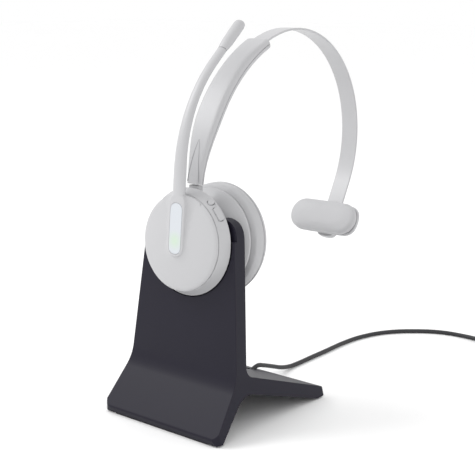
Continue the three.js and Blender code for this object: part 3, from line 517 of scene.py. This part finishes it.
abs_pale = pale_abs()
PALE_SHELLS = [  # node, piece, body, edge radius in millimetres
    ("cup_housing", "cup_shell", "cup", 0.12),
    ("speaker_housing", "speaker_shell", "cup", 0.3),
    ("mute_button", "button_mute", "mute_button", 0.2),
    ("volume_button", "button_volume", "volume_button", 0.2),
    ("boom_arm", "boom_shell", "boom", 0.08),
    ("mic_cap", "mic_tip", "boom", 0.15),
    ("pivot_block", "neck_block", "neck", 0.24),
    ("arm_outer_shell", "arm_outer", "arm", 0.06),
    ("arm_inner_shell", "arm_inner", "arm", 0.08),
    ("band_end_clip", "band_clip", "band", 0.15),
    ("pad_base", "pad_plate", "pad", 0.1),
]
for node, name, body, edge in PALE_SHELLS:
    dressed(node, name, abs_pale, body, edge)

# ---- Joint line on the arm, as painted shade -----------------------------------------------------
# Low on the arm's outer half a pointed tongue of the moulding is let in, and its edge shows as a fine V
# of shadow. That shadow is painted: a thin tube of darker grey laid half in the surface along the arm's
# curve.

CUP_CENTRE = Vector((0, -0.067133, 0.103482))
DOCK_LEAN = math.radians(-5.33)
LEANING = Matrix.Translation(CUP_CENTRE) @ Matrix.Rotation(DOCK_LEAN, 4, "X")
ARM_CENTRE = (97.92, 29.34)  # of the arm's curve, along the cup's axis and up
ARM_RADIUS = 95
TONGUE_FOOT, TONGUE_TIP = math.radians(2.6), math.radians(16.5)
TONGUE_HALF_WIDTH = 4.1
TONGUE_SHARPNESS = 1.4  # 1 is a straight-sided V
TONGUE_LINE_RADIUS = 0.16
TONGUE_STEPS = 12  # on each side
ARM_HALF_THICKNESS = (2.3, 2.62)  # at the tongue's foot and tip


def tongue_point(share):
    """A point on the tongue's edge: share runs from -1 over 0 at the tip to 1."""
    climb = 1 - abs(share) ** TONGUE_SHARPNESS
    turn = TONGUE_FOOT + (TONGUE_TIP - TONGUE_FOOT) * climb
    foot, tip = ARM_HALF_THICKNESS
    reach = ARM_RADIUS + foot + (tip - foot) * climb
    centre_along, centre_up = ARM_CENTRE
    along = centre_along - reach * math.cos(turn)
    up = centre_up + reach * math.sin(turn)
    return LEANING @ (Vector((TONGUE_HALF_WIDTH * share, along, up)) * MM)


def shadow_grey():
    """Painted shade for the arm's joint line: the same ABS in a darker, duller grey."""
    material, tree = empty_material("abs_painted_joint_shade_grey")
    place = add_node(tree, "TexCoord").outputs["Object"]
    dust = add_node(tree, "TexNoise", {"Vector": place, "Scale": 1 / (2 * MM), "Detail": 2})
    # Both greys are painted shade, mottled at random.
    tone = add_node(
        tree,
        "Mix",
        {"Factor": dust.outputs["Fac"], MIX_A: linear("8f8f92"), MIX_B: linear("9a9a9d")},
        data_type="RGBA",
    )
    shader = add_node(
        tree,
        "BsdfPrincipled",
        {"Base Color": tone.outputs[MIX_RESULT], "Roughness": 0.7, "IOR": 1.54},
    )
    add_node(tree, "OutputMaterial", {"Surface": shader.outputs["BSDF"]})
    return material


tongue_points = [
    tongue_point(step / TONGUE_STEPS) for step in range(-TONGUE_STEPS, TONGUE_STEPS + 1)
]
# A tube of painted shade along the tongue's edge.
tongue_shade_line = smooth_curve("arm_tongue_painted_shade", tongue_points, TONGUE_LINE_RADIUS * MM, rings=2)
tongue_shade_line.data.materials.append(shadow_grey())
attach(tongue_shade_line, "arm")

# ---- Parts inside the headset --------------------------------------------------------------------
# Battery, board, speaker and baffle inside the cup, the bush and steel clip that hold the boom, and
# the pins of the arm and pad.

dressed("speaker_baffle", "baffle", nylon, "cup", edge=0.05)
dressed("battery_cell", "battery", nylon, "cup", edge=0.5)
dressed("boom_bush", "bush", nylon, "cup", edge=0.1)
dressed("speaker_driver", "driver", nickel_plate, "cup", edge=0.2)
dressed("main_board", "cup_board", green_board, "cup", edge=0.05)
dressed("pivot_pin", "arm_pin", nickel_plate, "cup", edge=0.1)
dressed("swivel_stem", "arm_stem", nickel_plate, "neck", edge=0.1)
dressed("boom_retainer", "boom_clip", nickel_plate, "boom", edge=0.05)
dressed("mic_capsule", "microphone", nickel_plate, "boom", edge=0.2)
dressed("pad_pin", "pad_hinge_pin", nickel_plate, "band", edge=0.08)

# ---- Light bar -----------------------------------------------------------------------------------
# A pill of milky polycarbonate let into the swelling at the boom's root. The small green lamp low
# behind it is not built: its glow is painted, as a green tint and a faint emission.

# The painted green glow centres where the lamp would sit and fades out over the reach below, in
# millimetres.
PAINTED_GLOW_CENTRE = LEANING @ (Vector((0, -11.9, 1.5)) * MM)
PAINTED_GLOW_REACH = 7  # how far its green shows


def milky_polycarbonate():
    """Polycarbonate filled to diffuse light: milk white and glossy, with a painted green glow and a
    faint painted emission.
    """
    material, tree = empty_material("polycarbonate_diffuser_milky_painted_glow")
    place = add_node(tree, "TexCoord").outputs["Object"]
    away = add_node(tree, "VectorMath", {0: place, 1: PAINTED_GLOW_CENTRE}, operation="DISTANCE")
    # Painted glow: the green tint fades with distance from the lamp's place.
    painted_glow = add_node(
        tree,
        "MapRange",
        {
            "Value": away.outputs["Value"],
            "From Min": 0,
            "From Max": PAINTED_GLOW_REACH * MM,
            "To Min": 0.5,
            "To Max": 0,
        },
        interpolation_type="SMOOTHSTEP",
    )
    colour = add_node(
        tree,
        "Mix",
        {"Factor": painted_glow.outputs["Result"], MIX_A: linear("c9cdd2"), MIX_B: linear("bbd9ae")},
        data_type="RGBA",
    )
    shader = add_node(
        tree,
        "BsdfPrincipled",
        {
            "Base Color": colour.outputs[MIX_RESULT],
            # The faint emission is painted glow; no lamp is built behind the window.
            "Emission Color": colour.outputs[MIX_RESULT],
            "Emission Strength": 0.03,
            "Roughness": 0.28,
            "IOR": 1.58,
        },
    )
    add_node(tree, "OutputMaterial", {"Surface": shader.outputs["BSDF"]})
    return material


dressed("light_bar", "light_window", milky_polycarbonate(), "boom", edge=0.2)

# ---- Headband ------------------------------------------------------------------------------------
# A flat spring of hardened steel strip in a satin nylon coat, the same pale grey as the shells. It
# slides in the arm's channel to fit the head.


def coated_spring():
    """Nylon-coated spring steel: pale grey, smoother and glossier than the mouldings."""
    material, tree = empty_material("nylon_coated_spring_pale_grey")
    place = add_node(tree, "TexCoord").outputs["Object"]
    orange_peel = add_node(tree, "TexNoise", {"Vector": place, "Scale": 1 / (1.6 * MM), "Detail": 1})
    flow = add_node(tree, "TexNoise", {"Vector": place, "Scale": 1 / (20 * MM), "Detail": 2})
    tone = add_node(
        tree,
        "Mix",
        {"Factor": flow.outputs["Fac"], MIX_A: linear("b8b8ba"), MIX_B: linear("bdbdbf")},
        data_type="RGBA",
    )
    bump = add_node(
        tree,
        "Bump",
        {"Height": orange_peel.outputs["Fac"], "Strength": 0.2, "Distance": 0.02 * MM},
    )
    shader = add_node(
        tree,
        "BsdfPrincipled",
        {
            "Base Color": tone.outputs[MIX_RESULT],
            "Roughness": 0.34,
            "IOR": 1.53,
            "Normal": bump.outputs["Normal"],
        },
    )
    add_node(tree, "OutputMaterial", {"Surface": shader.outputs["BSDF"]})
    return material


dressed("headband_strip", "headband", coated_spring(), "band", edge=0.12)

# ---- Ear cushion ---------------------------------------------------------------------------------
# A ring of soft foam in grained leatherette. The cover is sewn together round the rim over a thin
# piping, and pulled into small puckers there and round the hole.

CUSHION_SECTION = [  # radius and distance along the cup's axis, all round the ring's section
    (17.2, 20),
    (23, 19.9),
    (28.4, 20),
    (31.5, 21.6),
    (32.3, 24.4),
    (32.4, 27.4),
    (31.8, 30.2),
    (29.9, 32.4),
    (26.8, 33.5),
    (23, 33.6),
    (19.2, 32.8),
    (16.6, 30.9),
    (15.3, 28),
    (15.1, 24.6),
    (15.7, 21.6),
]
SEAM_RADIUS, SEAM_ALONG = 32.3, 28.4
GROOVE_DEPTH, GROOVE_REACH = 0.45, 0.9  # of the seam
PUCKER_HEIGHT, PUCKER_REACH, PUCKERS = 0.1, 2.4, 72  # beside the seam, and how many round it
CREASE_HEIGHT, CREASE_REACH, CREASES = 0.22, 5, 34  # round the hole
CREASE_LENGTH = 60  # over which a crease wanders
CREASE_VARIETY, CREASE_WANDER = 6, 3  # how often and how far the creases stray from even spacing
HOLE_RADIUS = 15
FOAM_PRESSURE = 4
CLOTH_FRAMES = 20
CUP_AXIS = Vector((0, 1, 0))


def new_piece(name, shape, material, body):
    """Writes the bmesh to a smooth object of its own."""
    bmesh.ops.recalc_face_normals(shape, faces=shape.faces)
    mesh = bpy.data.meshes.new(name)
    shape.to_mesh(mesh)
    shape.free()
    for polygon in mesh.polygons:
        polygon.use_smooth = True
    mesh.materials.append(material)
    piece = bpy.data.objects.new(name, mesh)
    bpy.context.scene.collection.objects.link(piece)
    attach(piece, body)
    return piece


def spun_ring(section, steps):
    """A closed section of (radius, along) turned about the cup's axis, in the cup's own frame."""
    shape = bmesh.new()
    corners = [shape.verts.new(Vector((0, along, radius)) * MM) for radius, along in section]
    edges = [shape.edges.new((a, b)) for a, b in zip(corners, corners[1:] + corners[:1])]
    bmesh.ops.spin(
        shape,
        geom=corners + edges,
        cent=(0, 0, 0),
        axis=CUP_AXIS,
        angle=2 * math.pi,
        steps=steps,
        use_merge=True,
    )
    bmesh.ops.remove_doubles(shape, verts=shape.verts, dist=WELD_DISTANCE * MM)
    return shape


def pebbled_leatherette():
    """Polyurethane leatherette, embossed: pale grey, soft sheen, rounded pebbles a millimetre wide."""
    material, tree = empty_material("leatherette_embossed_pale_grey")
    place = add_node(tree, "TexCoord").outputs["Object"]
    pebbles = add_node(
        tree, "TexVoronoi", {"Vector": place, "Scale": 1 / (1.1 * MM)}, feature="SMOOTH_F1"
    )
    worn = add_node(tree, "TexNoise", {"Vector": place, "Scale": 1 / (14 * MM), "Detail": 4})
    tone = add_node(
        tree,
        "Mix",
        {"Factor": worn.outputs["Fac"], MIX_A: linear("b4b4b6"), MIX_B: linear("bababc")},
        data_type="RGBA",
    )
    gloss = add_node(
        tree, "MapRange", {"Value": pebbles.outputs["Distance"], "To Min": 0.42, "To Max": 0.66}
    )
    bump = add_node(
        tree,
        "Bump",
        {"Height": pebbles.outputs["Distance"], "Strength": 0.25, "Distance": 0.06 * MM},
        invert=True,
    )
    shader = add_node(
        tree,
        "BsdfPrincipled",
        {
            "Base Color": tone.outputs[MIX_RESULT],
            "Roughness": gloss.outputs["Result"],
            "IOR": 1.5,
            "Sheen Weight": 0.12,
            "Sheen Roughness": 0.5,
            "Normal": bump.outputs["Normal"],
        },
    )
    add_node(tree, "OutputMaterial", {"Surface": shader.outputs["BSDF"]})
    return material


def final_mesh(piece):
    """The piece's mesh with its modifiers worked in."""
    graph = bpy.context.evaluated_depsgraph_get()
    return bpy.data.meshes.new_from_object(piece.evaluated_get(graph))


def foam_filled(piece, voxel, most):
    """Blows the cover up over its foam by cloth simulation, by at most the given shift."""
    remesh = piece.modifiers.new("even_cover", "REMESH")
    remesh.mode = "VOXEL"
    remesh.voxel_size = voxel * MM
    even = final_mesh(piece)
    piece.modifiers.clear()
    piece.data = even
    before = [vertex.co.copy() for vertex in even.vertices]
    cloth = piece.modifiers.new("cover", "CLOTH")
    cloth.settings.use_pressure = True
    cloth.settings.uniform_pressure_force = FOAM_PRESSURE
    cloth.settings.effector_weights.gravity = 0
    for step in range(1, CLOTH_FRAMES + 1):
        bpy.context.scene.frame_set(step)
    swollen = final_mesh(piece)
    piece.modifiers.clear()
    bpy.context.scene.frame_set(1)
    for vertex, start in zip(swollen.vertices, before):
        shift = vertex.co - start
        if shift.length > most * MM:
            shift.length = most * MM
        vertex.co = start + shift
    for polygon in swollen.polygons:
        polygon.use_smooth = True
    piece.data = swollen


def subdivided(piece):
    """Smooths the piece by one level of subdivision."""
    subdivision = piece.modifiers.new("rounded_cover", "SUBSURF")
    subdivision.levels = 1
    subdivision.render_levels = 1


leatherette = pebbled_leatherette()
cushion_shape = spun_ring(CUSHION_SECTION, steps=96)
ear_pad = new_piece("ear_pad", cushion_shape, leatherette, "cup")
foam_filled(ear_pad, voxel=1.2, most=0.35)
for vertex in ear_pad.data.vertices:
    x, along, z = vertex.co / MM
    radius = math.hypot(x, z)
    angle = math.atan2(x, z)
    from_seam = math.hypot(radius - SEAM_RADIUS, along - SEAM_ALONG)
    groove = -GROOVE_DEPTH * math.exp(-((from_seam / GROOVE_REACH) ** 2))
    pucker = PUCKER_HEIGHT * math.sin(PUCKERS * angle) * math.exp(-((from_seam / PUCKER_REACH) ** 2))
    into_hole = max(0, 1 - (radius - HOLE_RADIUS) / CREASE_REACH)
    place = Vector((math.cos(angle), math.sin(angle), along / CREASE_LENGTH))
    wander = CREASE_WANDER * noise.noise(place * CREASE_VARIETY)
    creases = CREASE_HEIGHT * into_hole * math.sin(CREASES * angle + wander)
    outward = Vector((x, 0, z)).normalized()
    vertex.co += outward * (groove + pucker + creases) * MM
ear_pad.data.transform(LEANING)
subdivided(ear_pad)
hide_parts("ear_cushion")

PIPING_RADIUS = 0.45
PIPING_DEPTH = 0.25  # how far its middle is sunk in the seam
PIPING_SIDES = 10
piping_turns = [2 * math.pi * side / PIPING_SIDES for side in range(PIPING_SIDES)]
piping_section = [
    (
        SEAM_RADIUS - PIPING_DEPTH + PIPING_RADIUS * math.cos(turn),
        SEAM_ALONG + PIPING_RADIUS * math.sin(turn),
    )
    for turn in piping_turns
]
piping_shape = spun_ring(piping_section, steps=120)
bmesh.ops.transform(piping_shape, matrix=LEANING, verts=piping_shape.verts)
new_piece("ear_pad_piping", piping_shape, leatherette, "cup")

# ---- Speaker cloth -------------------------------------------------------------------------------
# A disc of open polyester knit, glued round its edge in front of the baffle, so that sound passes
# and dust does not.

SCRIM_RADIUS = 23.6
SCRIM_ALONG = 18.95  # from the cup's centre towards the ear
SCRIM_GLUED = 3  # width of the ring that is glued down
SCRIM_THICKNESS = 0.25


def acoustic_knit():
    """Black polyester mesh: dull threads with open pores, drawn at 0.9 mm so that they show."""
    material, tree = empty_material("polyester_mesh_black")
    place = add_node(tree, "TexCoord").outputs["Object"]
    pores = add_node(
        tree, "TexVoronoi", {"Vector": place, "Scale": 1 / (0.9 * MM), "Randomness": 0.2}
    )
    colour = add_node(
        tree,
        "Mix",
        {"Factor": pores.outputs["Distance"], MIX_A: linear("111113"), MIX_B: linear("3a3a3d")},
        data_type="RGBA",
    )
    bump = add_node(
        tree,
        "Bump",
        {"Height": pores.outputs["Distance"], "Strength": 0.5, "Distance": 0.15 * MM},
    )
    shader = add_node(
        tree,
        "BsdfPrincipled",
        {
            "Base Color": colour.outputs[MIX_RESULT],
            "Roughness": 0.85,
            "Sheen Weight": 0.3,
            "Normal": bump.outputs["Normal"],
        },
    )
    add_node(tree, "OutputMaterial", {"Surface": shader.outputs["BSDF"]})
    return material


scrim_shape = bmesh.new()
bmesh.ops.create_circle(scrim_shape, cap_ends=True, radius=SCRIM_RADIUS * MM, segments=64)
bmesh.ops.inset_individual(scrim_shape, faces=scrim_shape.faces[:], thickness=SCRIM_GLUED * MM)
upright = Matrix.Rotation(math.pi / 2, 4, "X")
bmesh.ops.transform(
    scrim_shape,
    matrix=LEANING @ Matrix.Translation(Vector((0, SCRIM_ALONG * MM, 0))) @ upright,
    verts=scrim_shape.verts,
)
scrim = new_piece("speaker_cloth", scrim_shape, acoustic_knit(), "cup")
thread = scrim.modifiers.new("cloth_thickness", "SOLIDIFY")
thread.thickness = SCRIM_THICKNESS * MM
thread.offset = 0

# ---- Temple pad ----------------------------------------------------------------------------------
# A pill of foam in the same leatherette, on a plate that tilts at the band's end. The cover is
# crowned towards the head and tucked under along the plate.

PAD_LENGTH, PAD_HEIGHT, PAD_THICKNESS = 49.5, 20.5, 6
PAD_START = 5.8  # its back, from the band's line
PAD_DROP = 2.2
PAD_FRONT_EDGE, PAD_BACK_EDGE = 2.6, 1.2  # roundings of its two rims
PAD_END_FLAT = 0.4  # keeps the roundings of its ends from meeting
PAD_CROWN = 0.7
BAND_END = Vector((0, 140.5245, 4.7076)) * MM
BAND_END_TURN = math.radians(203)
AT_BAND_END = LEANING @ Matrix.Translation(BAND_END) @ Matrix.Rotation(-BAND_END_TURN, 4, "X")


def rounded(shape, edges, radius, segments):
    """Rounds the edges over to the radius in millimetres."""
    bmesh.ops.bevel(
        shape,
        geom=edges,
        offset=radius * MM,
        segments=segments,
        profile=0.5,
        affect="EDGES",
        material=-1,
    )


def rim_edges(shape, side):
    """The edges in the plane of the pad's front (side 1) or back (side -1)."""
    almost_there = 0.995 * PAD_THICKNESS / 2 * MM
    return [
        edge for edge in shape.edges if all(v.co.y * side > almost_there for v in edge.verts)
    ]


pad_shape = bmesh.new()
bmesh.ops.create_cube(
    pad_shape,
    size=1,
    matrix=Matrix.Diagonal((PAD_LENGTH * MM, PAD_THICKNESS * MM, PAD_HEIGHT * MM, 1)),
)
end_edges = [  # the four that run from its back to its front
    edge
    for edge in pad_shape.edges
    if abs(edge.verts[0].co.y - edge.verts[1].co.y) > PAD_THICKNESS / 2 * MM
]
rounded(pad_shape, end_edges, PAD_HEIGHT / 2 - PAD_END_FLAT, segments=12)
rounded(pad_shape, rim_edges(pad_shape, 1), PAD_FRONT_EDGE, segments=6)
rounded(pad_shape, rim_edges(pad_shape, -1), PAD_BACK_EDGE, segments=3)
temple = new_piece("temple_cushion", pad_shape, leatherette, "pad")
foam_filled(temple, voxel=0.9, most=0.3)
for vertex in temple.data.vertices:
    x, y, z = vertex.co / MM
    past_straight = max(0, abs(x) - (PAD_LENGTH - PAD_HEIGHT) / 2)
    across = min(1, math.hypot(past_straight, z) / (PAD_HEIGHT / 2))
    if y > 0:
        vertex.co.y -= PAD_CROWN * across * across * MM
pad_middle = Vector((0, PAD_START + PAD_THICKNESS / 2, PAD_DROP)) * MM
temple.data.transform(AT_BAND_END @ Matrix.Translation(pad_middle))
subdivided(temple)
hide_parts("temple_pad")

# ---- Floor and lights ----------------------------------------------------------------------------
# A white paper floor, one soft light over the left shoulder, and even white surroundings.

# These are in metres and watts.
FLOOR_HALF_WIDTH = 8  # so that its far edge is lost in the white
KEY_PLACE = Vector((-0.74, -0.55, 0.92))
KEY_AIM = Vector((0, -0.05, 0.04))
KEY_WIDTH, KEY_POWER = 0.5, 5.5


def white_paper():
    """Matt white background paper."""
    material, tree = empty_material("paper_matt_white")
    shader = add_node(tree, "BsdfPrincipled", {"Base Color": linear("ffffff"), "Roughness": 0.9})
    add_node(tree, "OutputMaterial", {"Surface": shader.outputs["BSDF"]})
    return material


floor_shape = bmesh.new()
bmesh.ops.create_grid(floor_shape, x_segments=1, y_segments=1, size=FLOOR_HALF_WIDTH)
floor_mesh = bpy.data.meshes.new("floor")
floor_shape.to_mesh(floor_mesh)
floor_shape.free()
floor_mesh.materials.append(white_paper())
floor = bpy.data.objects.new("floor", floor_mesh)
bpy.context.scene.collection.objects.link(floor)

key_data = bpy.data.lights.new("key_light", "AREA")
key_data.shape = "SQUARE"
key_data.size = KEY_WIDTH
key_data.energy = KEY_POWER
key_light = bpy.data.objects.new("key_light", key_data)
key_light.location = KEY_PLACE
key_light.rotation_euler = (KEY_AIM - KEY_PLACE).to_track_quat("-Z", "Y").to_euler()
bpy.context.scene.collection.objects.link(key_light)

world = bpy.data.worlds.new("studio")
world.use_nodes = True
world.node_tree.nodes["Background"].inputs["Color"].default_value = (1, 1, 1, 1)
world.node_tree.nodes["Background"].inputs["Strength"].default_value = 1.0
bpy.context.scene.world = world
bpy.context.scene.view_settings.view_transform = "Standard"
